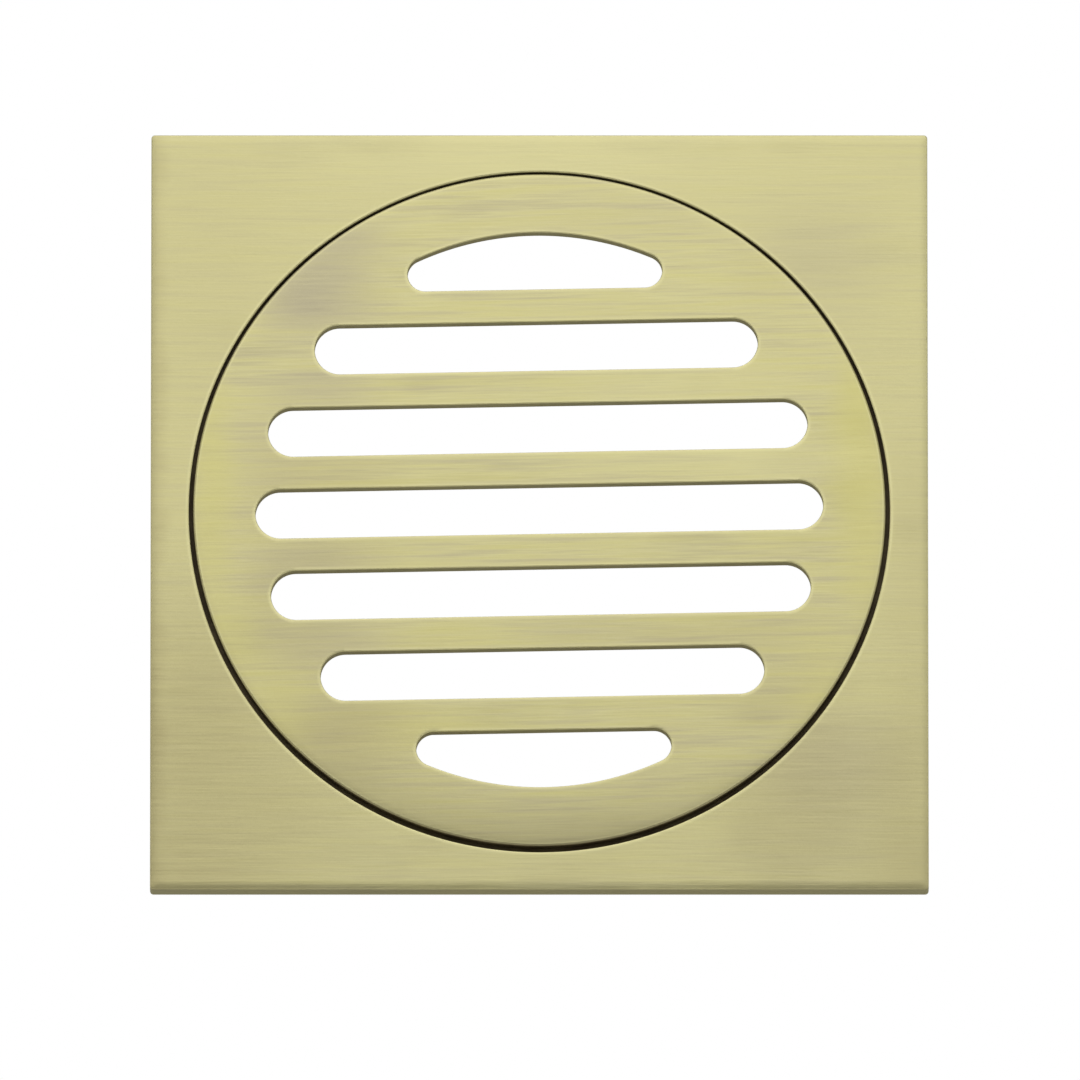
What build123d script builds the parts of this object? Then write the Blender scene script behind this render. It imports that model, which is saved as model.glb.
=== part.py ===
from build123d import *
import math
import os

# Square floor drain grate for a DN100 waste pipe, in millimetres, +Z up.
# The origin is the centre of the outlet's foot. The top of the flange is the finished floor level.

# Flange plate: a flat square plate with a round bore that the grate drops into
FLANGE_SIDE = 110.0
FLANGE_THICKNESS = 3.5
FLANGE_CORNER_RADIUS = 0.5
BORE_RADIUS = 49.6
EDGE_ROUND = 0.2

# Grate: a round slotted disc with a short skirt under it, flush with the flange.
# It drops in loosely, so it lies a little off the bore's centre and a little turned.
GRATE_RADIUS = 49.0
GRATE_THICKNESS = 2.0
GRATE_UNDERSIDE_CHAMFER = 0.3
GRATE_OFFSET_AT_REST = 0.3
GRATE_TURN_AT_REST = 1.05
SLOT_EDGE_ROUND = 0.15

# Slots: parallel rows whose end arcs are centred on one circle, and a D-shaped slot beyond each side
SLOT_WIDTH = 7.15
SLOT_PITCH = 11.9
SLOT_END_CIRCLE = 36.6
FULL_SLOT_ROWS = (-2, -1, 0, 1, 2)
D_SLOT_OUTER_RADIUS = 40.45
D_SLOT_CORNER_RADIUS = 2.5

# Skirt under the grate, and the groove round it that holds the O-ring
SKIRT_INNER_RADIUS = 42.2
SKIRT_OUTER_RADIUS = 45.0
SKIRT_LENGTH = 4.5
SKIRT_FOOT_CHAMFER = 0.4
GROOVE_FLOOR_RADIUS = 43.3
GROOVE_WIDTH = 2.4
GROOVE_CENTRE_BELOW_SEAT = 2.4
O_RING_SECTION = 1.8
O_RING_CLEARANCE = 0.05

# Outlet ring: the seat that carries the grate, the throat that the skirt enters, and the pipe spigot.
# Its collar is let into a rebate in the flange's underside, just deep enough to leave the grate flush.
OVERALL_HEIGHT = 18.0
COLLAR_RADIUS = 53.0
OUTLET_RADIUS = 51.5
OUTLET_WALL = 2.2
OUTLET_FOOT_CHAMFER = 1.0
THROAT_RADIUS = 45.5
THROAT_LENGTH = 6.0
THROAT_LEAD_IN = 0.5

# Levels above the outlet's foot
FLOOR_LEVEL = OVERALL_HEIGHT
FLANGE_UNDERSIDE = FLOOR_LEVEL - FLANGE_THICKNESS
SEAT_LEVEL = FLOOR_LEVEL - GRATE_THICKNESS


def ring_from_section(points):
    """Turn a closed (radius, height) section about Z into one solid ring."""
    section = Plane.XZ * make_face(Polyline(*points, close=True))
    return revolve(section, Axis.Z)


def top_edges(part):
    """The edges that lie in the floor-level plane."""
    return part.edges().group_by(Axis.Z)[-1]


def full_circles(edges, radius):
    """Those of the edges that are whole circles of this radius."""
    return edges.filter_by(lambda edge: math.isclose(edge.length, math.tau * radius))


def flange_plate():
    """The visible square plate, bored for the grate and rebated below for the outlet ring."""
    outline = RectangleRounded(FLANGE_SIDE, FLANGE_SIDE, FLANGE_CORNER_RADIUS)
    underside = Pos(0, 0, FLANGE_UNDERSIDE)
    plate = underside * extrude(outline, FLANGE_THICKNESS)
    plate = fillet(top_edges(plate), EDGE_ROUND)
    plate -= underside * extrude(Circle(BORE_RADIUS), FLANGE_THICKNESS)
    plate -= underside * extrude(Circle(COLLAR_RADIUS), SEAT_LEVEL - FLANGE_UNDERSIDE)
    return fillet(full_circles(top_edges(plate), BORE_RADIUS), EDGE_ROUND)


def outlet_ring():
    """Collar, seat, throat and pipe spigot, turned as one ring and brazed to the flange from below."""
    tail_inner = OUTLET_RADIUS - OUTLET_WALL
    throat_foot = SEAT_LEVEL - THROAT_LENGTH
    cone_foot = throat_foot - (tail_inner - THROAT_RADIUS)
    return ring_from_section([
        (THROAT_RADIUS + THROAT_LEAD_IN, SEAT_LEVEL),
        (COLLAR_RADIUS, SEAT_LEVEL),
        (COLLAR_RADIUS, FLANGE_UNDERSIDE),
        (OUTLET_RADIUS, FLANGE_UNDERSIDE),
        (OUTLET_RADIUS, OUTLET_FOOT_CHAMFER),
        (OUTLET_RADIUS - OUTLET_FOOT_CHAMFER, 0),
        (tail_inner, 0),
        (tail_inner, cone_foot),
        (THROAT_RADIUS, throat_foot),
        (THROAT_RADIUS, SEAT_LEVEL - THROAT_LEAD_IN),
    ])


def full_slot(row):
    """One straight slot. Its two end arcs are centred on the slot end circle."""
    offset = row * SLOT_PITCH
    arc_centre = math.sqrt(SLOT_END_CIRCLE**2 - offset**2)
    return Pos(0, offset) * SlotCenterToCenter(2 * arc_centre, SLOT_WIDTH)


def d_slot():
    """The slot beyond the last full row: a straight inner side and an outer side concentric with the disc."""
    straight_side = (FULL_SLOT_ROWS[-1] + 1) * SLOT_PITCH - SLOT_WIDTH / 2
    band = Pos(0, straight_side) * Rectangle(
        2 * D_SLOT_OUTER_RADIUS, D_SLOT_OUTER_RADIUS, align=(Align.CENTER, Align.MIN)
    )
    segment = Circle(D_SLOT_OUTER_RADIUS) & band
    return fillet(segment.vertices(), D_SLOT_CORNER_RADIUS)


def slot_pattern():
    """All seven slot outlines, as flat faces."""
    d_slots = [d_slot(), Rot(0, 0, 180) * d_slot()]
    return [full_slot(row) for row in FULL_SLOT_ROWS] + d_slots


def grate():
    """The slotted disc with its skirt, lying where it dropped: off centre towards +Y and turned."""
    groove_top = SEAT_LEVEL - GROOVE_CENTRE_BELOW_SEAT + GROOVE_WIDTH / 2
    groove_foot = groove_top - GROOVE_WIDTH
    skirt_foot = SEAT_LEVEL - SKIRT_LENGTH
    body = ring_from_section([
        (0, FLOOR_LEVEL),
        (GRATE_RADIUS, FLOOR_LEVEL),
        (GRATE_RADIUS, SEAT_LEVEL + GRATE_UNDERSIDE_CHAMFER),
        (GRATE_RADIUS - GRATE_UNDERSIDE_CHAMFER, SEAT_LEVEL),
        (SKIRT_OUTER_RADIUS, SEAT_LEVEL),
        (SKIRT_OUTER_RADIUS, groove_top),
        (GROOVE_FLOOR_RADIUS, groove_top),
        (GROOVE_FLOOR_RADIUS, groove_foot),
        (SKIRT_OUTER_RADIUS, groove_foot),
        (SKIRT_OUTER_RADIUS, skirt_foot + SKIRT_FOOT_CHAMFER),
        (SKIRT_OUTER_RADIUS - SKIRT_FOOT_CHAMFER, skirt_foot),
        (SKIRT_INNER_RADIUS, skirt_foot),
        (SKIRT_INNER_RADIUS, SEAT_LEVEL),
        (0, SEAT_LEVEL),
    ])
    body = fillet(top_edges(body), EDGE_ROUND)
    for outline in slot_pattern():
        body -= Pos(0, 0, SEAT_LEVEL) * extrude(outline, GRATE_THICKNESS)
    slot_edges = top_edges(body) - full_circles(top_edges(body), GRATE_RADIUS - EDGE_ROUND)
    body = fillet(slot_edges, SLOT_EDGE_ROUND)
    return Pos(0, GRATE_OFFSET_AT_REST, 0) * Rot(0, 0, GRATE_TURN_AT_REST) * body


def o_ring():
    """The rubber ring in the skirt's groove. It cushions the grate in the throat and stops it rattling."""
    section_radius = O_RING_SECTION / 2
    centre_radius = GROOVE_FLOOR_RADIUS + GRATE_OFFSET_AT_REST + O_RING_CLEARANCE + section_radius
    return Pos(0, 0, SEAT_LEVEL - GROOVE_CENTRE_BELOW_SEAT) * Torus(centre_radius, section_radius)


NODES = {
    "flange_plate": flange_plate,
    "outlet_ring": outlet_ring,
    "grate": grate,
    "o_ring": o_ring,
}

os.makedirs("parts", exist_ok=True)
for name, make in NODES.items():
    export_step(make(), f"parts/{name}.step")
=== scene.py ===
import math
import random

import bmesh
import bpy
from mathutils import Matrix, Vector
from mathutils.geometry import delaunay_2d_cdt


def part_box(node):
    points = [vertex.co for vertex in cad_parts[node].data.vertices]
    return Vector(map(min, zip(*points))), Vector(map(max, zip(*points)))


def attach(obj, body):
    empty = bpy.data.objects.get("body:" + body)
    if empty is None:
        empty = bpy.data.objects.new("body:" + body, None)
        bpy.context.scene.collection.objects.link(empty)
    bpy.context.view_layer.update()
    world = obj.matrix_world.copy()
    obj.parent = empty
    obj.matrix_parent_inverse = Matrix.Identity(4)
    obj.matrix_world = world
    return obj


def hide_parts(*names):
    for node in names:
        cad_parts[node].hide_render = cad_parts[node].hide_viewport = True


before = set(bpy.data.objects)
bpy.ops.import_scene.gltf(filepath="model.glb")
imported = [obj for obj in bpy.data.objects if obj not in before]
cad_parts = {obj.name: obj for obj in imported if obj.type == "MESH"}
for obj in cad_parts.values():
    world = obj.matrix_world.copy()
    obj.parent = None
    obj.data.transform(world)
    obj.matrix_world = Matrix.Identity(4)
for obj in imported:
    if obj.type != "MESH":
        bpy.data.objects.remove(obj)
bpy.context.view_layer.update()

# A brushed brass floor drain grate in its square flange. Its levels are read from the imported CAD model. The
# radii and widths below are the CAD model's own driving dimensions. Lengths are millimetres up to the point
# where a mesh, a material, a light or the camera is made.
MM = 0.001

# ------------------------------------------------------------------ dimensions

# Flange plate
FLANGE_HALF_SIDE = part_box("flange_plate")[1].x / MM
FLANGE_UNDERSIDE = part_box("flange_plate")[0].z / MM
FLOOR_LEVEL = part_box("flange_plate")[1].z / MM
FLANGE_CORNER_RADIUS = 0.5
BORE_RADIUS = 49.6
EDGE_ROUND = 0.2

# Grate
SEAT_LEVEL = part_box("outlet_ring")[1].z / MM
GRATE_RADIUS = 49.0
GRATE_UNDERSIDE_CHAMFER = 0.3
GRATE_OFFSET_AT_REST = 0.3
GRATE_TURN_AT_REST = 1.05
SLOT_WIDTH = 7.15
SLOT_PITCH = 11.9
SLOT_END_CIRCLE = 36.6
FULL_SLOT_ROWS = (-2, -1, 0, 1, 2)
D_SLOT_OUTER_RADIUS = 40.45
D_SLOT_CORNER_RADIUS = 2.5
SLOT_EDGE_ROUND = 0.15

# Skirt, groove and O-ring
SKIRT_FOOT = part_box("grate")[0].z / MM
SKIRT_INNER_RADIUS = 42.2
SKIRT_OUTER_RADIUS = 45.0
SKIRT_FOOT_CHAMFER = 0.4
GROOVE_FLOOR_RADIUS = 43.3
GROOVE_WIDTH = 2.4
O_RING_SECTION = 1.8
O_RING_CENTRE_RADIUS = 44.55
O_RING_LEVEL = sum(corner.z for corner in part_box("o_ring")) / 2 / MM

# Outlet ring
COLLAR_RADIUS = 53.0
OUTLET_RADIUS = 51.5
OUTLET_WALL = 2.2
OUTLET_FOOT_CHAMFER = 1.0
THROAT_RADIUS = 45.5
THROAT_LENGTH = 6.0
THROAT_LEAD_IN = 0.5

# Edges as polishing left them, which only the visual model has: the faces roll off towards them
ROLL_WIDTH = 1.3
ROLL_DROP = 0.09
RIM_ROLL_WIDTH = 1.4
RIM_ROLL_DROP = 0.03
RIM_ROUND = 0.3

# How far round the bore the face carries wear with a painted highlight, and where its even part starts round
# the bore and round the slots
BORE_WEAR_HIGHLIGHT_WIDTH = 1.6 * EDGE_ROUND
BORE_BORDER = 3 * EDGE_ROUND
SLOT_BORDER = 0.6

# Broken arrises, the brazed seam and the O-ring's mould line, also only in the visual model
ARRIS = 0.15
SEAM_HALF_WIDTH = 0.3
SEAM_DEPTH = 0.08
SEAM_WAVES = (5, 9, 14, 23)
SEAM_WAVE_SIZE = (0.05, 0.16)
MOULD_LINE_HEIGHT = 0.03

# Mesh resolution
SIDE_STEPS = 84
CORNER_STEPS = 6
FACE_STEPS = 6
ROLL_STEPS = 6
RIM_ROLL_STEPS = 5
ROUND_STEPS = 6
CIRCLE_STEPS = 360
SLOT_END_STEPS = 32
SLOT_SIDE_STEPS = 24
SLOT_ROUND_STEPS = 4
RUBBER_STEPS = 40
SEAM_STEPS = 12
SHARP_FROM = math.radians(32)
CAP_TOLERANCE = 1e-6

# Seen from the middle of the flange: half a corner, and what is left from there to the middle of a side
HALF_CORNER_TURN = math.radians(0.6)
HALF_SIDE_TURN = math.pi / 4 - HALF_CORNER_TURN

# Surface finishes that the materials read from the mesh: wear that also paints a highlight on rounded edges,
# machining, and dirt that also paints shade in the gap round the grate and on the bore, slot and flange walls
FINISH_LABELS = ("worn_edge_and_highlight", "machined", "grime_and_shade")
BRUSHED = (0.0, 0.0, 0.0)
WORN_AND_HIGHLIGHT = (1.0, 0.0, 0.0)
MACHINED = (0.0, 1.0, 0.0)
SLOT_WALL = (0.0, 1.0, 0.4)
FLANGE_WALL = (0.0, 1.0, 0.35)
BORE_WALL = (0.0, 1.0, 0.5)
RECESS = (0.0, 1.0, 1.0)
# How much wear with a painted highlight the bore's and the flange's rounded edges carry, and how far up the
# rim the dirt and painted shade reach
BORE_EDGE_WEAR_AND_HIGHLIGHT = 0.6
FLANGE_EDGE_WEAR_AND_HIGHLIGHT = 0.15
RIM_GRIME_AND_SHADE_REACH = 0.6


# ------------------------------------------------------------------ mesh work


class Shell:
    """One closed surface, made of loops of points joined by bands of quads and flat caps."""

    def __init__(self):
        self.points = []
        self.finishes = []
        self.faces = []

    def ring(self, points, finish):
        """Add a closed loop of (x, y, z) points, and return the loop's point numbers."""
        first = len(self.points)
        self.points += points
        self.finishes += [finish] * len(points)
        return list(range(first, len(self.points)))

    def loop(self, outline, level, finish):
        """Add a closed loop of (x, y) points at one level, and return the loop's point numbers."""
        return self.ring([(x, y, level) for x, y in outline], finish)

    def band(self, lower, upper):
        """Join two loops that have the same number of points."""
        for here in range(len(lower)):
            after = (here + 1) % len(lower)
            self.faces.append((lower[here], lower[after], upper[after], upper[here]))

    def bands(self, loops, closed=False):
        """Join each loop to the next, and the last to the first if the section is closed."""
        for lower, upper in zip(loops, loops[1:]):
            self.band(lower, upper)
        if closed:
            self.band(loops[-1], loops[0])

    def cap(self, outer, holes):
        """Fill the flat area between one outer loop and the loops of its holes."""
        numbers = []
        edges = []
        hole_of = {}
        for loop in [outer, *holes]:
            first = len(numbers)
            numbers += loop
            edges += [(first + k, first + (k + 1) % len(loop)) for k in range(len(loop))]
        for hole, loop in enumerate(holes):
            hole_of.update({number: hole for number in loop})
        flat = [Vector(self.points[number][:2]) for number in numbers]
        triangles_inside = 1
        result = delaunay_2d_cdt(flat, edges, [], triangles_inside, CAP_TOLERANCE)
        source = [numbers[origins[0]] for origins in result[3]]
        for face in result[2]:
            corners = tuple(source[k] for k in face)
            touched = {hole_of.get(corner) for corner in corners}
            # The holes are convex, so a triangle with all its corners on one hole lies inside it
            if len(touched) > 1 or None in touched:
                self.faces.append(corners)

    def build(self, name):
        """Make the Blender object, with outward normals, smooth faces, sharp arrises and the finishes."""
        mesh = bpy.data.meshes.new(name)
        mesh.from_pydata([Vector(point) * MM for point in self.points], [], self.faces)
        work = bmesh.new()
        work.from_mesh(mesh)
        bmesh.ops.recalc_face_normals(work, faces=work.faces)
        work.to_mesh(mesh)
        work.free()
        mesh.polygons.foreach_set("use_smooth", [True] * len(mesh.polygons))
        mesh.set_sharp_from_angle(angle=SHARP_FROM)
        for column, label in enumerate(FINISH_LABELS):
            attribute = mesh.attributes.new(label, "FLOAT", "POINT")
            attribute.data.foreach_set("value", [finish[column] for finish in self.finishes])
        piece = bpy.data.objects.new(name, mesh)
        bpy.context.scene.collection.objects.link(piece)
        normals = piece.modifiers.new("face_weighted_normals", "WEIGHTED_NORMAL")
        normals.keep_sharp = True
        return piece


def turns_round_square():
    """The points round a square, each as (quarter, place along the side, share of the way round a corner).

    The place runs from -1 to 1. A point on a side has no share, and a point on a corner has no place.
    """
    for quarter in range(4):
        for step in range(SIDE_STEPS):
            yield quarter, 2 * step / SIDE_STEPS - 1, None
        for step in range(CORNER_STEPS):
            yield quarter, None, step / CORNER_STEPS


def circle_in_step(radius):
    """A circle with one point for each point of rounded_square."""
    outline = []
    for quarter, along, corner in turns_round_square():
        if corner is None:
            angle = along * HALF_SIDE_TURN
        else:
            angle = HALF_SIDE_TURN + 2 * HALF_CORNER_TURN * corner
        angle += quarter * math.pi / 2
        outline.append((radius * math.cos(angle), radius * math.sin(angle)))
    return outline


def rounded_square(half_side):
    """A square with rounded corners, with its points in line with the circle's."""
    outline = []
    straight = half_side - FLANGE_CORNER_RADIUS
    for quarter, along, corner in turns_round_square():
        if corner is None:
            x = half_side
            y = straight * math.tan(along * HALF_SIDE_TURN) / math.tan(HALF_SIDE_TURN)
        else:
            x = straight + FLANGE_CORNER_RADIUS * math.cos(corner * math.pi / 2)
            y = straight + FLANGE_CORNER_RADIUS * math.sin(corner * math.pi / 2)
        for _ in range(quarter):
            x, y = -y, x
        outline.append((x, y))
    return outline


def between(first, second, share):
    """The outline part of the way from one outline to another."""
    return [
        (a[0] + share * (b[0] - a[0]), a[1] + share * (b[1] - a[1]))
        for a, b in zip(first, second)
    ]


def circle(radius):
    """A plain circle."""
    angles = [math.tau * step / CIRCLE_STEPS for step in range(CIRCLE_STEPS)]
    return [(radius * math.cos(angle), radius * math.sin(angle)) for angle in angles]


def rounding(radius, steps):
    """A quarter round from the face to the wall, as (distance in from the wall, distance down)."""
    angles = [math.pi / 2 * step / steps for step in range(steps, -1, -1)]
    return [(radius * (1 - math.cos(angle)), radius * (1 - math.sin(angle))) for angle in angles]


def rolling(width, drop, edge_round, steps):
    """A face that rolls off towards a rounded edge, as (distance in from the wall, distance down)."""
    shares = [step / steps for step in range(steps + 1)]
    return [(width + (edge_round - width) * share, drop * share**2) for share in shares]


def grimy_shaded_edge(share, wall, reach=1.0, wear_and_highlight=0.0):
    """A rounded edge's finish: clean where it meets the face, and as grimy and as darkened by painted shade
    as the wall at a share of 1. Its wear share is wear with a painted highlight.

    The smaller the reach, the further up the dirt and painted shade come.
    """
    return wear_and_highlight, 0.0, wall[2] * share**reach


def flange_shell():
    """The square plate: bore, top face, rolled and rounded edge, side, underside and rebate."""
    shell = Shell()
    # The rebate, the seat and the bore wall carry dirt and painted shade
    loops = [
        shell.loop(circle_in_step(COLLAR_RADIUS), FLANGE_UNDERSIDE, MACHINED),
        shell.loop(circle_in_step(COLLAR_RADIUS), SEAT_LEVEL, RECESS),
        shell.loop(circle_in_step(BORE_RADIUS), SEAT_LEVEL, RECESS),
        shell.loop(circle_in_step(BORE_RADIUS), FLOOR_LEVEL - 2 * EDGE_ROUND, BORE_WALL),
    ]
    # The bore's rounding carries wear with a painted highlight, and dirt with painted shade that grows down
    # towards the wall
    for inward, down in reversed(rounding(EDGE_ROUND, ROUND_STEPS)):
        finish = grimy_shaded_edge(down / EDGE_ROUND, BORE_WALL, wear_and_highlight=BORE_EDGE_WEAR_AND_HIGHLIGHT)
        loops.append(shell.loop(circle_in_step(BORE_RADIUS + inward), FLOOR_LEVEL - down, finish))
    # A line of wear with a painted highlight round the bore's edge
    loops.append(shell.loop(circle_in_step(BORE_RADIUS + BORE_WEAR_HIGHLIGHT_WIDTH), FLOOR_LEVEL, WORN_AND_HIGHLIGHT))

    inner = circle_in_step(BORE_RADIUS + BORE_BORDER)
    outer = rounded_square(FLANGE_HALF_SIDE - ROLL_WIDTH)
    for step in range(FACE_STEPS + 1):
        loops.append(shell.loop(between(inner, outer, step / FACE_STEPS), FLOOR_LEVEL, BRUSHED))
    for inward, down in rolling(ROLL_WIDTH, ROLL_DROP, EDGE_ROUND, ROLL_STEPS)[1:]:
        loops.append(shell.loop(rounded_square(FLANGE_HALF_SIDE - inward), FLOOR_LEVEL - down, BRUSHED))
    # The flange's rounded edge carries a little wear with a painted highlight, and dirt with painted shade
    # that grows down towards the side
    for inward, down in rounding(EDGE_ROUND, ROUND_STEPS)[1:]:
        outline = rounded_square(FLANGE_HALF_SIDE - inward)
        finish = grimy_shaded_edge(down / EDGE_ROUND, FLANGE_WALL, wear_and_highlight=FLANGE_EDGE_WEAR_AND_HIGHLIGHT)
        loops.append(shell.loop(outline, FLOOR_LEVEL - ROLL_DROP - down, finish))

    # The flange's side carries dirt and painted shade
    side = rounded_square(FLANGE_HALF_SIDE)
    loops.append(shell.loop(side, FLOOR_LEVEL - 2 * EDGE_ROUND, FLANGE_WALL))
    loops.append(shell.loop(side, FLANGE_UNDERSIDE + ARRIS, FLANGE_WALL))
    loops.append(shell.loop(rounded_square(FLANGE_HALF_SIDE - ARRIS), FLANGE_UNDERSIDE, MACHINED))
    shell.bands(loops, closed=True)
    return shell


def full_slot(row, growth):
    """The outline of one straight slot, grown outward on all sides."""
    offset = row * SLOT_PITCH
    arc_centre = math.sqrt(SLOT_END_CIRCLE**2 - offset**2)
    radius = SLOT_WIDTH / 2 + growth
    outline = []
    for side in (1, -1):
        for step in range(SLOT_END_STEPS):
            angle = math.pi * (step / SLOT_END_STEPS - 0.5)
            x = arc_centre + radius * math.cos(angle)
            outline.append((side * x, offset + side * radius * math.sin(angle)))
        for step in range(SLOT_SIDE_STEPS):
            x = arc_centre * (1 - 2 * step / SLOT_SIDE_STEPS)
            outline.append((side * x, offset + side * radius))
    return outline


def d_slot(side, growth):
    """The outline of the D-shaped slot beyond the last row, grown outward.

    The side is 1 for the slot towards +Y and -1 for the one towards -Y.
    """
    straight_side = (FULL_SLOT_ROWS[-1] + 1) * SLOT_PITCH - SLOT_WIDTH / 2
    corner_y = straight_side + D_SLOT_CORNER_RADIUS
    corner_x = math.sqrt((D_SLOT_OUTER_RADIUS - D_SLOT_CORNER_RADIUS) ** 2 - corner_y**2)
    turn = math.atan2(corner_y, corner_x)
    radius = D_SLOT_CORNER_RADIUS + growth
    outer = D_SLOT_OUTER_RADIUS + growth
    outline = []
    for step in range(SLOT_END_STEPS):
        angle = -math.pi / 2 + (turn + math.pi / 2) * step / SLOT_END_STEPS
        outline.append((corner_x + radius * math.cos(angle), corner_y + radius * math.sin(angle)))
    for step in range(SLOT_END_STEPS):
        angle = turn + (math.pi - 2 * turn) * step / SLOT_END_STEPS
        outline.append((outer * math.cos(angle), outer * math.sin(angle)))
    for step in range(SLOT_END_STEPS):
        angle = math.pi - turn + (turn + math.pi / 2) * step / SLOT_END_STEPS
        outline.append((-corner_x + radius * math.cos(angle), corner_y + radius * math.sin(angle)))
    for step in range(SLOT_SIDE_STEPS):
        x = corner_x * (2 * step / SLOT_SIDE_STEPS - 1)
        outline.append((x, straight_side - growth))
    return [(side * x, side * y) for x, y in outline]


def slot_loops(shell, growth, level, finish):
    """The loops of all seven slots at one level, grown outward."""
    outlines = [full_slot(row, growth) for row in FULL_SLOT_ROWS]
    outlines += [d_slot(side, growth) for side in (1, -1)]
    return [shell.loop(outline, level, finish) for outline in outlines]


def rim_loops(shell):
    """The grate's loops from the top face round the rim, the groove and the skirt to the underside."""
    loops = []
    # The last loop of the rim's roll carries wear with a painted highlight
    for inward, down in rolling(RIM_ROLL_WIDTH, RIM_ROLL_DROP, RIM_ROUND, RIM_ROLL_STEPS):
        finish = WORN_AND_HIGHLIGHT if len(loops) == RIM_ROLL_STEPS else BRUSHED
        loops.append(shell.loop(circle(GRATE_RADIUS - inward), FLOOR_LEVEL - down, finish))
    # The rim's rounding darkens down towards the gap, as dirt and painted shade
    for inward, down in rounding(RIM_ROUND, ROUND_STEPS)[1:]:
        finish = grimy_shaded_edge(down / RIM_ROUND, RECESS, reach=RIM_GRIME_AND_SHADE_REACH)
        level = FLOOR_LEVEL - RIM_ROLL_DROP - down
        loops.append(shell.loop(circle(GRATE_RADIUS - inward), level, finish))

    groove_top = O_RING_LEVEL + GROOVE_WIDTH / 2
    groove_foot = O_RING_LEVEL - GROOVE_WIDTH / 2
    in_gap = [
        (GRATE_RADIUS, FLOOR_LEVEL - 2 * RIM_ROUND),
        (GRATE_RADIUS, SEAT_LEVEL + GRATE_UNDERSIDE_CHAMFER),
        (GRATE_RADIUS - GRATE_UNDERSIDE_CHAMFER, SEAT_LEVEL),
    ]
    below = [
        (SKIRT_OUTER_RADIUS, SEAT_LEVEL),
        (SKIRT_OUTER_RADIUS, groove_top + ARRIS),
        (SKIRT_OUTER_RADIUS - ARRIS, groove_top),
        (GROOVE_FLOOR_RADIUS, groove_top),
        (GROOVE_FLOOR_RADIUS, groove_foot),
        (SKIRT_OUTER_RADIUS - ARRIS, groove_foot),
        (SKIRT_OUTER_RADIUS, groove_foot - ARRIS),
        (SKIRT_OUTER_RADIUS, SKIRT_FOOT + SKIRT_FOOT_CHAMFER),
        (SKIRT_OUTER_RADIUS - SKIRT_FOOT_CHAMFER, SKIRT_FOOT),
        (SKIRT_INNER_RADIUS + ARRIS, SKIRT_FOOT),
        (SKIRT_INNER_RADIUS, SKIRT_FOOT + ARRIS),
        (SKIRT_INNER_RADIUS, SEAT_LEVEL),
    ]
    # Full dirt and painted shade in the gap round the rim
    loops += [shell.loop(circle(radius), level, RECESS) for radius, level in in_gap]
    loops += [shell.loop(circle(radius), level, MACHINED) for radius, level in below]
    return loops


def grate_shell():
    """The slotted disc, with its rolled rim, rounded slot edges, skirt and groove. It is centred on Z."""
    shell = Shell()
    rim = rim_loops(shell)
    slots = [slot_loops(shell, SLOT_BORDER, FLOOR_LEVEL, BRUSHED)]
    # The slot edges carry wear with a painted highlight
    for growth, down in rounding(SLOT_EDGE_ROUND, SLOT_ROUND_STEPS):
        slots.append(slot_loops(shell, growth, FLOOR_LEVEL - down, WORN_AND_HIGHLIGHT))
    # The slot walls carry dirt and painted shade
    for level in (FLOOR_LEVEL - 2 * SLOT_EDGE_ROUND, SEAT_LEVEL):
        slots.append(slot_loops(shell, 0, level, SLOT_WALL))
    shell.bands(rim)
    for one_slot in zip(*slots):
        shell.bands(one_slot)
    shell.cap(rim[0], slots[0])
    shell.cap(rim[-1], slots[-1])
    return shell


def turned_shell(profile):
    """A ring turned from a closed (radius, level) section. What faces the gap round the grate is grimy, with
    painted shade.
    """
    shell = Shell()
    loops = []
    for radius, level in profile:
        in_gap = level > FLANGE_UNDERSIDE + EDGE_ROUND
        loops.append(shell.loop(circle(radius), level, RECESS if in_gap else MACHINED))
    shell.bands(loops, closed=True)
    return shell


def outlet_shell():
    """Collar, seat, throat, cone and pipe spigot, with its arrises broken."""
    tail_inner = OUTLET_RADIUS - OUTLET_WALL
    throat_foot = SEAT_LEVEL - THROAT_LENGTH
    cone_foot = throat_foot - (tail_inner - THROAT_RADIUS)
    return turned_shell([
        (THROAT_RADIUS + THROAT_LEAD_IN, SEAT_LEVEL),
        (COLLAR_RADIUS - ARRIS, SEAT_LEVEL),
        (COLLAR_RADIUS, SEAT_LEVEL - ARRIS),
        (COLLAR_RADIUS, FLANGE_UNDERSIDE),
        (OUTLET_RADIUS + ARRIS, FLANGE_UNDERSIDE),
        (OUTLET_RADIUS, FLANGE_UNDERSIDE - ARRIS),
        (OUTLET_RADIUS, OUTLET_FOOT_CHAMFER),
        (OUTLET_RADIUS - OUTLET_FOOT_CHAMFER, 0),
        (tail_inner + ARRIS, 0),
        (tail_inner, ARRIS),
        (tail_inner, cone_foot),
        (THROAT_RADIUS, throat_foot),
        (THROAT_RADIUS, SEAT_LEVEL - THROAT_LEAD_IN),
    ])


def o_ring_shell():
    """The moulded rubber ring, with the fine line that its mould left round the outside and the inside."""
    profile = []
    for step in range(RUBBER_STEPS):
        angle = math.tau * step / RUBBER_STEPS
        on_mould_line = step % (RUBBER_STEPS // 2) == 0
        reach = O_RING_SECTION / 2 - (0 if on_mould_line else MOULD_LINE_HEIGHT)
        radius = O_RING_CENTRE_RADIUS + reach * math.cos(angle)
        profile.append((radius, O_RING_LEVEL + reach * math.sin(angle)))
    return turned_shell(profile)


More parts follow.
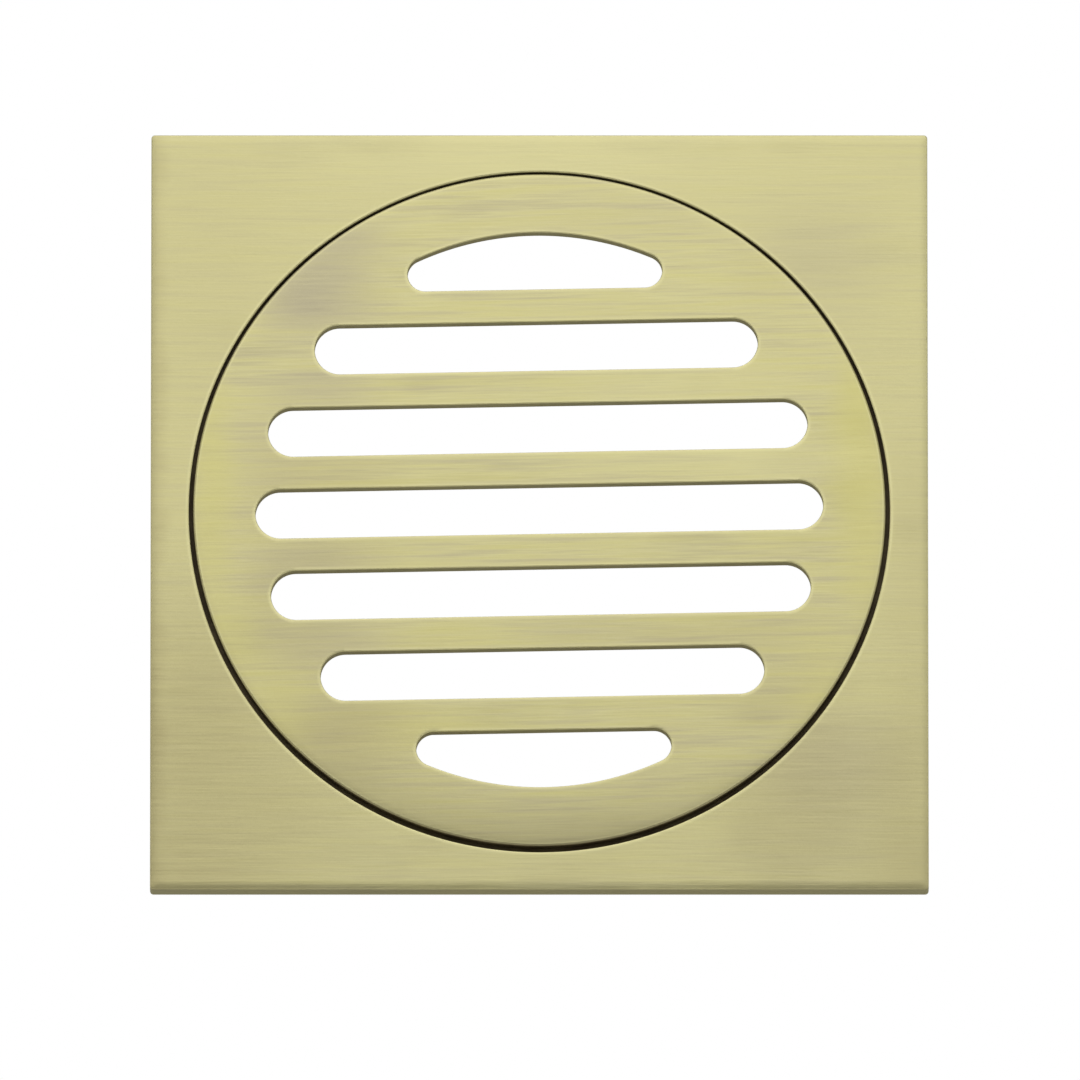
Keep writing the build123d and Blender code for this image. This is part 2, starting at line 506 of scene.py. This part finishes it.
def seam_shell():
    """The line of brazing alloy where the collar meets the flange's underside, a little uneven."""
    draw = random.Random(7)
    waves = [(count, draw.uniform(0, math.tau), draw.uniform(*SEAM_WAVE_SIZE)) for count in SEAM_WAVES]
    shell = Shell()
    loops = []
    for step in range(SEAM_STEPS):
        turn = math.tau * step / SEAM_STEPS
        points = []
        for point in range(CIRCLE_STEPS):
            angle = math.tau * point / CIRCLE_STEPS
            swell = 1 + sum(size * math.sin(count * angle + start) for count, start, size in waves)
            radius = COLLAR_RADIUS + SEAM_HALF_WIDTH * swell * math.cos(turn)
            level = FLANGE_UNDERSIDE + SEAM_DEPTH * swell * math.sin(turn)
            points.append((radius * math.cos(angle), radius * math.sin(angle), level))
        loops.append(shell.ring(points, MACHINED))
    shell.bands(loops, closed=True)
    return shell


# ------------------------------------------------------------------ materials

BRASS = (0.80, 0.745, 0.38)
BRASS_PALE = (0.88, 0.825, 0.435)
BRASS_DEEP = (0.71, 0.655, 0.325)
BRASS_YELLOW = (0.80, 0.745, 0.30)
BRASS_GREY = (0.60, 0.54, 0.36)
BRASS_DIM = (0.60, 0.535, 0.27)
BRASS_SHADE = (0.50, 0.455, 0.245)
BRASS_MACHINED = (0.52, 0.46, 0.21)
BRASS_TURNED = (0.70, 0.60, 0.30)
BRASS_STAIN = (0.42, 0.34, 0.17)
GRIME_AND_SHADE_COLOUR = (0.14, 0.105, 0.055)
BRAZE = (0.72, 0.66, 0.48)
RUBBER = (0.018, 0.018, 0.019)
RUBBER_DUST = (0.07, 0.068, 0.064)

# Feature sizes in X, Y and Z. On turned brass they are radial, unused and axial.
HAIRLINE_SIZE = (5, 0.1, 5)
STROKE_SIZE = (8, 0.32, 8)
BAND_SIZE = (24, 1.2, 24)
TINT_SIZE = (18, 0.7, 18)
CLOUD_SIZE = (24, 10, 24)
TOOL_MARK_SIZE = (9, 9, 0.12)
GRIME_AND_SHADE_SIZE = (4, 4, 1.5)
LATHE_LINE_SIZE = (0.35, 1, 0.35)
LATHE_WAVE_SIZE = (1.8, 1, 1.8)
WATER_STAIN_SIZE = (14, 14, 6)
FLUX_STAIN_SIZE = (5, 5, 5)
RIPPLE_SIZE = (0.7, 0.7, 0.7)
RUBBER_GRAIN_SIZE = (0.12, 0.12, 0.12)
RUBBER_BLOOM_SIZE = (6, 6, 2)

# Depths of relief
HAIRLINE_DEPTH = 0.004
STROKE_DEPTH = 0.012
LATHE_LINE_DEPTH = 0.012
LATHE_WAVE_DEPTH = 0.02
RIPPLE_DEPTH = 0.05
RUBBER_GRAIN_DEPTH = 0.012

# A noise's seed moves it this far in X, Y and Z
SEED_STEP = (1, 2.3, 5.1)
GRIME_AND_SHADE_SEED = 51.0

# The crescent of shade at the grate's foot: its centre, and the radii where it starts and is deepest
CRESCENT_CENTRE = (1, 30)
CRESCENT_START = 69
CRESCENT_FULL = 80

# Soft patches where the brushed face is greyer, dimmer, paler or yellower, each as (x, y, half width,
# half height, strength), and how far their outlines wander in X and Y
PATCH_WANDER = (6, 4)
# The dim strip along the left edge is painted shade of its rolled edge; the dim patches at the lower left and
# the lower corners are partly painted shade, and the pale strip along the top is partly a painted lighter top
FLANGE_PATCHES = (
    (BRASS_GREY, (
        (39, 37, 10, 8, 0.35), (41, -36, 12, 7, 0.45), (40, -47, 10, 8, 0.2),
    )),
    (BRASS_DIM, (
        (-48, -33, 13, 20, 0.6), (38, -42, 11, 12, 0.4), (-50, -53, 16, 6, 0.35),
        (54, -53, 8, 8, 0.45), (-55, 0, 1.8, 80, 0.5), (54, -8, 5, 18, 0.2),
        (-33, -44, 8, 8, 0.25), (-46, 35, 12, 22, 0.12), (53, -38, 6, 12, 0.35),
    )),
    (BRASS_PALE, (
        (0, 52, 30, 5, 0.5),
    )),
)
# The dim patches on the disc's lower left are partly painted shade, and the dim and pale patches near its
# foot deepen and lighten the painted crescent of shade
GRATE_PATCHES = (
    (BRASS_GREY, (
        (-31, 31, 9, 5, 0.75), (-29, 38, 8, 4, 0.55), (-32, -8, 9, 3.5, 0.6),
        (-29, -20, 9, 4, 0.5), (-38, 8, 5, 8, 0.25), (16, 42, 20, 4, 0.15),
        (-31, 18, 8, 3.5, 0.45), (6, -18, 9, 3, 0.3), (-25, 41, 6, 2.5, 0.25),
        (-35, 30, 5, 4, 0.2),
    )),
    (BRASS_DIM, (
        (-29, -32, 12, 6, 0.6), (-31, 2, 11, 10, 0.35), (-35, -17, 8, 8, 0.25),
        (28, -19, 12, 4, 0.25), (33, -28, 9, 5, 0.25), (-20, -40.5, 9, 3.5, 0.15),
        (33, 34, 6, 5, 0.15),
    )),
    (BRASS_YELLOW, (
        (46, 8, 4, 24, 0.85), (-46.5, 4, 3, 20, 0.6), (-38, -29, 5, 8, 0.4),
        (40, -27, 5, 9, 0.4), (-12, -32, 12, 3, 0.5), (-12, -20, 9, 3, 0.25),
        (-43, -18, 4, 6, 0.5),
    )),
    (BRASS_PALE, (
        (34, 7, 12, 4, 0.6), (14, 7, 14, 3, 0.35), (20, 18, 14, 3.5, 0.45),
        (21, -43.5, 7, 3, 0.2),
    )),
)


class Nodes:
    """Short ways to add nodes to a node tree."""

    def __init__(self, tree):
        self.tree = tree

    def add(self, kind, sockets=(), **settings):
        """Add a node. Each socket is given a value, or another node's output to link to."""
        node = self.tree.nodes.new(kind)
        for key, value in settings.items():
            setattr(node, key, value)
        for key, value in dict(sockets).items():
            if isinstance(value, bpy.types.NodeSocket):
                self.tree.links.new(value, node.inputs[key])
            else:
                node.inputs[key].default_value = value
        return node

    def calculate(self, operation, first, second):
        """Work out a number from two others."""
        return self.add("ShaderNodeMath", {0: first, 1: second}, operation=operation).outputs[0]

    def plus(self, first, *others):
        """The sum of two or more numbers."""
        for other in others:
            first = self.calculate("ADD", first, other)
        return first

    def times(self, first, second):
        """The product of two numbers."""
        return self.calculate("MULTIPLY", first, second)

    def vector(self, operation, first, second):
        """Work out a vector from two others."""
        node = self.add("ShaderNodeVectorMath", {0: first, 1: second}, operation=operation)
        return node.outputs["Vector"]

    def length(self, vector):
        """The length of a vector."""
        return self.add("ShaderNodeVectorMath", {0: vector}, operation="LENGTH").outputs["Value"]

    def shift(self, value, low, high, new_low, new_high, smooth=False):
        """Carry a value from one range to another."""
        sockets = {"Value": value, "From Min": low, "From Max": high, "To Min": new_low, "To Max": new_high}
        kind = "SMOOTHSTEP" if smooth else "LINEAR"
        return self.add("ShaderNodeMapRange", sockets, interpolation_type=kind).outputs["Result"]

    def mapping(self, vector, scale, location):
        """Scale a vector, then move it."""
        sockets = {"Vector": vector, "Location": location, "Scale": scale}
        return self.add("ShaderNodeMapping", sockets).outputs[0]


class Surface(Nodes):
    """A node material for one piece. Its noise and patches are placed in the piece's own coordinates."""

    def __init__(self, name):
        self.material = bpy.data.materials.new(name)
        self.material.use_nodes = True
        super().__init__(self.material.node_tree)
        self.shader = self.tree.nodes["Principled BSDF"]
        self.place = self.add("ShaderNodeTexCoord").outputs["Object"]

    def link(self, socket, value):
        """Link a value to one of the shader's sockets."""
        self.tree.links.new(value, self.shader.inputs[socket])

    def attribute(self, label):
        """One of the finish attributes of the mesh."""
        return self.add("ShaderNodeAttribute", attribute_name=label).outputs["Fac"]

    def noise(self, size, seed, detail=2.0, place=None):
        """Noise from 0 to 1 with features of this size."""
        scale = tuple(1 / (length * MM) for length in size)
        location = tuple(seed * step for step in SEED_STEP)
        vector = self.mapping(self.place if place is None else place, scale, location)
        sockets = {"Vector": vector, "Scale": 1.0, "Detail": detail, "Roughness": 0.55}
        return self.add("ShaderNodeTexNoise", sockets).outputs["Fac"]

    def blend(self, share, first, second):
        """Mix two colours."""
        node = self.add("ShaderNodeMix", data_type="RGBA")
        for socket, value in ((node.inputs[0], share), (node.inputs[6], first), (node.inputs[7], second)):
            if isinstance(value, bpy.types.NodeSocket):
                self.tree.links.new(value, socket)
            elif isinstance(value, tuple):
                socket.default_value = (*value, 1.0)
            else:
                socket.default_value = value
        return node.outputs[2]

    def patches(self, table, place):
        """The sum of soft elliptical patches, up to 1."""
        total = 0.0
        for x, y, half_width, half_height, strength in table:
            scale = (1 / (half_width * MM), 1 / (half_height * MM), 0.0)
            from_centre = self.mapping(place, scale, (-x / half_width, -y / half_height, 0.0))
            soft = self.shift(self.length(from_centre), 0.1, 1.6, strength, 0.0, smooth=True)
            total = self.plus(soft, total)
        return self.calculate("MINIMUM", total, 1.0)

    def bump(self, height, depth, under=None):
        """Relief of this depth for a height that runs from 0 to 1."""
        sockets = {"Height": height, "Distance": depth * MM, "Strength": 1.0}
        if under is not None:
            sockets["Normal"] = under
        return self.add("ShaderNodeBump", sockets).outputs["Normal"]

    def grime_and_shade(self):
        """How much dirt and painted shade lies here: the mesh's own share of it, unevenly spread."""
        spread = self.shift(self.noise(GRIME_AND_SHADE_SIZE, GRIME_AND_SHADE_SEED, detail=3.0), 0.3, 0.7, 0.85, 1.05)
        return self.calculate("MINIMUM", self.times(self.attribute("grime_and_shade"), spread), 1.0)

    def cover_with_grime_and_shade(self, colour, grime_and_shade):
        """Use this colour, darker and less metallic where there is more dirt and painted shade."""
        self.link("Base Color", self.blend(grime_and_shade, colour, GRIME_AND_SHADE_COLOUR))
        self.link("Metallic", self.shift(grime_and_shade, 0.0, 0.5, 1.0, 0.45))


def brushed_brass(name, seed, patches, streaks, tarnish, dark_foot=0.0):
    """Brass brushed along X: hairlines, broad bands, soft patches, edges of wear with a painted highlight,
    and machined walls with dirt and painted shade.

    The last three say how strong the pale and dark streaks, the tarnish and the crescent of shade are.
    """
    nodes = Surface(name)
    hairlines = nodes.noise(HAIRLINE_SIZE, seed)
    strokes = nodes.noise(STROKE_SIZE, seed + 1)
    bands = nodes.noise(BAND_SIZE, seed + 2)
    cloud = nodes.noise(CLOUD_SIZE, seed + 3, detail=3.0)
    tint = nodes.noise(TINT_SIZE, seed + 5)
    brushing = nodes.plus(
        nodes.shift(hairlines, 0.25, 0.75, 0.0, 0.25),
        nodes.shift(strokes, 0.25, 0.75, 0.0, 0.5),
        nodes.shift(bands, 0.25, 0.75, 0.0, 0.25),
    )

    # Pale and dark streaks, stronger in some places than in others, then tarnish and shade
    swing = nodes.shift(brushing, 0.1, 0.9, -streaks, streaks)
    swing = nodes.times(swing, nodes.shift(cloud, 0.35, 0.65, 0.7, 1.4))
    colour = nodes.blend(nodes.plus(swing, 0.5), BRASS_DEEP, BRASS_PALE)
    colour = nodes.blend(nodes.shift(tint, 0.5, 0.75, 0.0, tarnish), colour, BRASS_GREY)
    colour = nodes.blend(nodes.shift(tint, 0.5, 0.25, 0.0, tarnish), colour, BRASS_YELLOW)
    dull = nodes.shift(cloud, 0.5, 0.75, 0.0, 0.12, smooth=True)
    colour = nodes.blend(dull, colour, BRASS_GREY)
    if dark_foot:
        centre_x, centre_y = CRESCENT_CENTRE
        from_centre = nodes.mapping(nodes.place, (1, 1, 0), (-centre_x * MM, -centre_y * MM, 0))
        start, full = CRESCENT_START * MM, CRESCENT_FULL * MM
        crescent = nodes.shift(nodes.length(from_centre), start, full, 0.0, dark_foot, smooth=True)
        colour = nodes.blend(crescent, colour, BRASS_SHADE)

    # Patches with uneven outlines, drawn out along the brushing
    wander_x, wander_y = (distance * MM for distance in PATCH_WANDER)
    place = nodes.vector("ADD", nodes.place, nodes.vector("MULTIPLY", cloud, (wander_x, wander_y, 0)))
    place = nodes.vector("SUBTRACT", place, (wander_x / 2, wander_y / 2, 0))
    streaky = nodes.shift(nodes.plus(bands, strokes), 0.7, 1.3, 0.85, 1.15)
    for shade, table in patches:
        colour = nodes.blend(nodes.times(nodes.patches(table, place), streaky), colour, shade)

    # Edges of wear with a painted highlight, machined walls, and dirt with painted shade in the gaps and on
    # the walls
    wear_and_highlight = nodes.times(nodes.attribute("worn_edge_and_highlight"), nodes.shift(cloud, 0.3, 0.7, 0.35, 0.9))
    colour = nodes.blend(wear_and_highlight, colour, BRASS_PALE)
    machined = nodes.attribute("machined")
    tool_marks = nodes.shift(nodes.noise(TOOL_MARK_SIZE, seed + 4), 0.3, 0.7, 0.0, 1.0)
    colour = nodes.blend(machined, colour, nodes.blend(tool_marks, BRASS_DEEP, BRASS))
    grime_and_shade = nodes.grime_and_shade()
    nodes.cover_with_grime_and_shade(colour, grime_and_shade)
    nodes.link("Roughness", nodes.plus(
        nodes.shift(brushing, 0.2, 0.8, 0.33, 0.45),
        nodes.times(dull, 0.3),
        nodes.times(wear_and_highlight, -0.08),
        nodes.times(machined, 0.08),
        nodes.times(grime_and_shade, 0.2),
    ))
    fine = nodes.bump(hairlines, HAIRLINE_DEPTH)
    nodes.link("Normal", nodes.bump(strokes, STROKE_DEPTH, under=fine))
    return nodes.material


def turned_brass(name, seed):
    """Raw brass off the lathe: fine lines round the axis, and water stains."""
    nodes = Surface(name)
    x, y, z = nodes.add("ShaderNodeSeparateXYZ", {0: nodes.place}).outputs
    flat = nodes.add("ShaderNodeCombineXYZ", {0: x, 1: y}).outputs[0]
    section = nodes.add("ShaderNodeCombineXYZ", {0: nodes.length(flat), 2: z}).outputs[0]
    lines = nodes.noise(LATHE_LINE_SIZE, seed, detail=3.0, place=section)
    waves = nodes.noise(LATHE_WAVE_SIZE, seed + 1, place=section)
    cloud = nodes.noise(WATER_STAIN_SIZE, seed + 2, detail=4.0)
    stain = nodes.shift(cloud, 0.5, 0.8, 0.0, 0.45, smooth=True)
    grime_and_shade = nodes.grime_and_shade()
    colour = nodes.blend(nodes.shift(lines, 0.3, 0.7, 0.0, 0.7), BRASS_TURNED, BRASS_MACHINED)
    colour = nodes.blend(stain, colour, BRASS_STAIN)
    nodes.cover_with_grime_and_shade(colour, grime_and_shade)
    nodes.link("Roughness", nodes.plus(
        nodes.shift(waves, 0.3, 0.7, 0.22, 0.36),
        nodes.times(stain, 0.25),
        nodes.times(grime_and_shade, 0.3),
    ))
    fine = nodes.bump(lines, LATHE_LINE_DEPTH)
    nodes.link("Normal", nodes.bump(waves, LATHE_WAVE_DEPTH, under=fine))
    return nodes.material


def braze_alloy(name, seed):
    """The paler alloy of the brazed seam, with small ripples and flux stains."""
    nodes = Surface(name)
    ripples = nodes.noise(RIPPLE_SIZE, seed)
    stains = nodes.noise(FLUX_STAIN_SIZE, seed + 1, detail=4.0)
    nodes.link("Base Color", nodes.blend(nodes.shift(stains, 0.4, 0.7, 0.0, 0.8), BRAZE, BRASS_STAIN))
    nodes.link("Roughness", nodes.shift(ripples, 0.3, 0.7, 0.3, 0.5))
    nodes.link("Normal", nodes.bump(ripples, RIPPLE_DEPTH))
    nodes.shader.inputs["Metallic"].default_value = 1.0
    return nodes.material


def moulded_rubber(name, seed):
    """Matt black rubber with a faint bloom and a fine grain."""
    nodes = Surface(name)
    grain = nodes.noise(RUBBER_GRAIN_SIZE, seed, detail=3.0)
    bloom = nodes.noise(RUBBER_BLOOM_SIZE, seed + 1, detail=4.0)
    nodes.link("Base Color", nodes.blend(nodes.shift(bloom, 0.45, 0.75, 0.0, 0.5), RUBBER, RUBBER_DUST))
    nodes.link("Roughness", nodes.shift(bloom, 0.3, 0.7, 0.5, 0.72))
    nodes.link("Normal", nodes.bump(grain, RUBBER_GRAIN_DEPTH))
    return nodes.material


# ------------------------------------------------------------------ the object


def place_piece(piece, body, material, replaces=None):
    """Give a piece its material, hang it on the empty of the body it rides on, and hide the CAD part that it
    stands in for.
    """
    piece.data.materials.append(material)
    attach(piece, body)
    if replaces is not None:
        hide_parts(replaces)


def build_object():
    """All the pieces that the visual model shows."""
    flange = flange_shell().build("square_flange")
    brass = brushed_brass("brushed_flange_brass", 3.0, FLANGE_PATCHES, streaks=0.42, tarnish=0.22)
    place_piece(flange, "frame", brass, "flange_plate")

    grate = grate_shell().build("slotted_disc")
    grate.location = (0, GRATE_OFFSET_AT_REST * MM, 0)
    grate.rotation_euler = (0, 0, math.radians(GRATE_TURN_AT_REST))
    brass = brushed_brass(
        "brushed_grate_brass", 11.0, GRATE_PATCHES, streaks=0.68, tarnish=0.6, dark_foot=0.75
    )
    place_piece(grate, "slotted_grate", brass, "grate")

    outlet = outlet_shell().build("pipe_outlet")
    brass = turned_brass("turned_outlet_brass", 21.0)
    place_piece(outlet, "frame", brass, "outlet_ring")

    seam = seam_shell().build("braze_seam")
    place_piece(seam, "frame", braze_alloy("braze_alloy", 31.0))

    seal = o_ring_shell().build("rubber_seal")
    place_piece(seal, "sealing_ring", moulded_rubber("moulded_rubber", 41.0), "o_ring")


# ------------------------------------------------------------------ stage, light and camera

FLOOR_HALF_SIDE = 2000
FLOOR_DROP = 0.2
FLOOR_TONE = (0.30, 0.30, 0.295, 1)
FLOOR_GLOW = 0.12

# The studio's light changes smoothly between these two elevations
WALL_LIGHT = 0.85
WALL_TOP = math.radians(25)
CEILING_LIGHT = 0.18
CEILING_EDGE = math.radians(50)

# Soft light panels, each as (name, place, point that it faces, (width, height), radiance)
PANELS = (
    ("overhead_panel", (-10, 250, 500), (-10, 50, 0), (540, 500), 0.78),
    ("back_panel", (0, 750, 300), (0, 0, 0), (900, 300), 0.65),
    ("left_panel", (-700, 100, 350), (0, 0, 0), (500, 400), 0.2),
    ("right_panel", (700, 100, 350), (0, 0, 0), (500, 400), 0.3),
)

# The lens and the sensor are the camera's own, in millimetres whatever the scene's unit
CAMERA_ELEVATION = math.radians(76)
CAMERA_AIM = (0.09, -4.19, FLOOR_LEVEL)
VIEW_WIDTH = 152.8
LENS = 1580.0
SENSOR = 36.0
CLIP_START = 100
CLIP_END = 50000


def camera_white(nodes, lit):
    """White to the camera, and the lit shader to everything else."""
    seen = nodes.add("ShaderNodeLightPath").outputs["Is Camera Ray"]
    white = nodes.add("ShaderNodeEmission").outputs[0]
    return nodes.add("ShaderNodeMixShader", {0: seen, 1: lit, 2: white}).outputs[0]


def floor_material():
    """A pale surface that glows a little, to light the underside. It is clear from below."""
    material = bpy.data.materials.new("pale_floor")
    material.use_nodes = True
    material.node_tree.nodes.clear()
    nodes = Nodes(material.node_tree)
    diffuse = nodes.add("ShaderNodeBsdfDiffuse", {"Color": FLOOR_TONE}).outputs[0]
    glow = nodes.add("ShaderNodeEmission", {"Strength": FLOOR_GLOW}).outputs[0]
    lit = nodes.add("ShaderNodeAddShader", {0: diffuse, 1: glow}).outputs[0]
    above = camera_white(nodes, lit)
    clear = nodes.add("ShaderNodeBsdfTransparent").outputs[0]
    from_below = nodes.add("ShaderNodeNewGeometry").outputs["Backfacing"]
    surface = nodes.add("ShaderNodeMixShader", {0: from_below, 1: above, 2: clear}).outputs[0]
    nodes.add("ShaderNodeOutputMaterial", {0: surface})
    return material


def make_floor():
    """A plain pale floor just under the outlet's foot."""
    corners = [
        Vector((x * FLOOR_HALF_SIDE, y * FLOOR_HALF_SIDE, -FLOOR_DROP)) * MM
        for x, y in ((-1, -1), (1, -1), (1, 1), (-1, 1))
    ]
    mesh = bpy.data.meshes.new("floor")
    mesh.from_pydata(corners, [], [(0, 1, 2, 3)])
    mesh.materials.append(floor_material())
    floor = bpy.data.objects.new("floor", mesh)
    bpy.context.scene.collection.objects.link(floor)


def make_world():
    """A studio whose walls are brighter than its ceiling, seen as white by the camera."""
    world = bpy.data.worlds.new("studio")
    world.use_nodes = True
    tree = world.node_tree
    nodes = Nodes(tree)
    direction = nodes.add("ShaderNodeTexCoord").outputs["Generated"]
    height = nodes.add("ShaderNodeSeparateXYZ", {0: direction}).outputs[2]
    low, high = math.sin(WALL_TOP), math.sin(CEILING_EDGE)
    light = nodes.shift(height, low, high, WALL_LIGHT, CEILING_LIGHT, smooth=True)
    background = tree.nodes["Background"]
    background.inputs["Color"].default_value = (1, 1, 1, 1)
    tree.links.new(light, background.inputs["Strength"])
    tree.links.new(camera_white(nodes, background.outputs[0]), tree.nodes["World Output"].inputs[0])
    bpy.context.scene.world = world


def make_panel(name, place, target, size, radiance):
    """A soft light panel of this even brightness."""
    width, height = (side * MM for side in size)
    data = bpy.data.lights.new(name, "AREA")
    data.shape = "RECTANGLE"
    data.size = width
    data.size_y = height
    data.energy = radiance * math.pi * width * height
    panel = bpy.data.objects.new(name, data)
    panel.location = Vector(place) * MM
    panel.rotation_mode = "QUATERNION"
    panel.rotation_quaternion = (Vector(target) - Vector(place)).to_track_quat("-Z", "Y")
    bpy.context.scene.collection.objects.link(panel)


def make_camera():
    """A long lens a little forward of straight above."""
    back = Vector((0, -math.cos(CAMERA_ELEVATION), math.sin(CAMERA_ELEVATION)))
    distance = VIEW_WIDTH * LENS / SENSOR
    camera = bpy.data.objects.new("camera", bpy.data.cameras.new("camera"))
    bpy.context.scene.collection.objects.link(camera)
    camera.location = (Vector(CAMERA_AIM) + back * distance) * MM
    camera.rotation_mode = "QUATERNION"
    camera.rotation_quaternion = (-back).to_track_quat("-Z", "Y")
    camera.data.lens = LENS
    camera.data.sensor_width = SENSOR
    camera.data.clip_start = CLIP_START * MM
    camera.data.clip_end = CLIP_END * MM
    bpy.context.scene.camera = camera
    bpy.context.scene.view_settings.view_transform = "Standard"


make_camera()
make_world()
make_floor()
for panel in PANELS:
    make_panel(*panel)
build_object()
